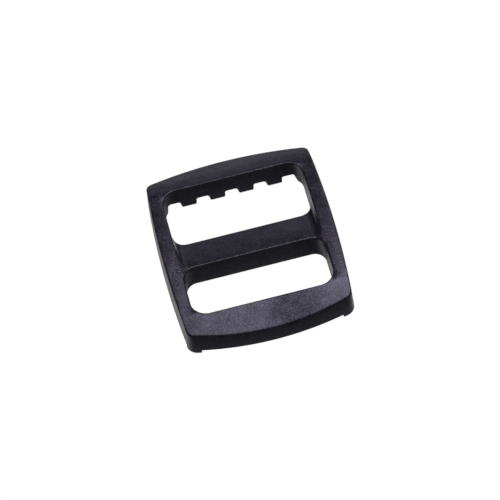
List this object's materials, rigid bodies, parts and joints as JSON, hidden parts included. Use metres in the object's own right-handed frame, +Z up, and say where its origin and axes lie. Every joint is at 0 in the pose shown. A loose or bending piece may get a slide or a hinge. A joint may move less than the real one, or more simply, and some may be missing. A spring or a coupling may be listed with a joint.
{
  "type": "buckle slider",
  "caption": "Moulded plastic strap slider: a bowed rectangular frame with a ramped centre bar between two slots and a row of teeth inside one end bar; adjusts the length of flat webbing.",
  "frame": {"origin": "centre of the footprint, on the plane of the four corner pads", "axes": "+X along the slots and the centre bar, +Y towards the toothed end bar, +Z up through the slots, from the pads to the top surface"},
  "size_m": [0.0256, 0.0302, 0.0055],
  "materials": {
    "black_plastic": "fine moulded grain, satin black"
  },
  "bodies": {
    "root": {"slider_frame": "black_plastic"}
  },
  "joints": []
}
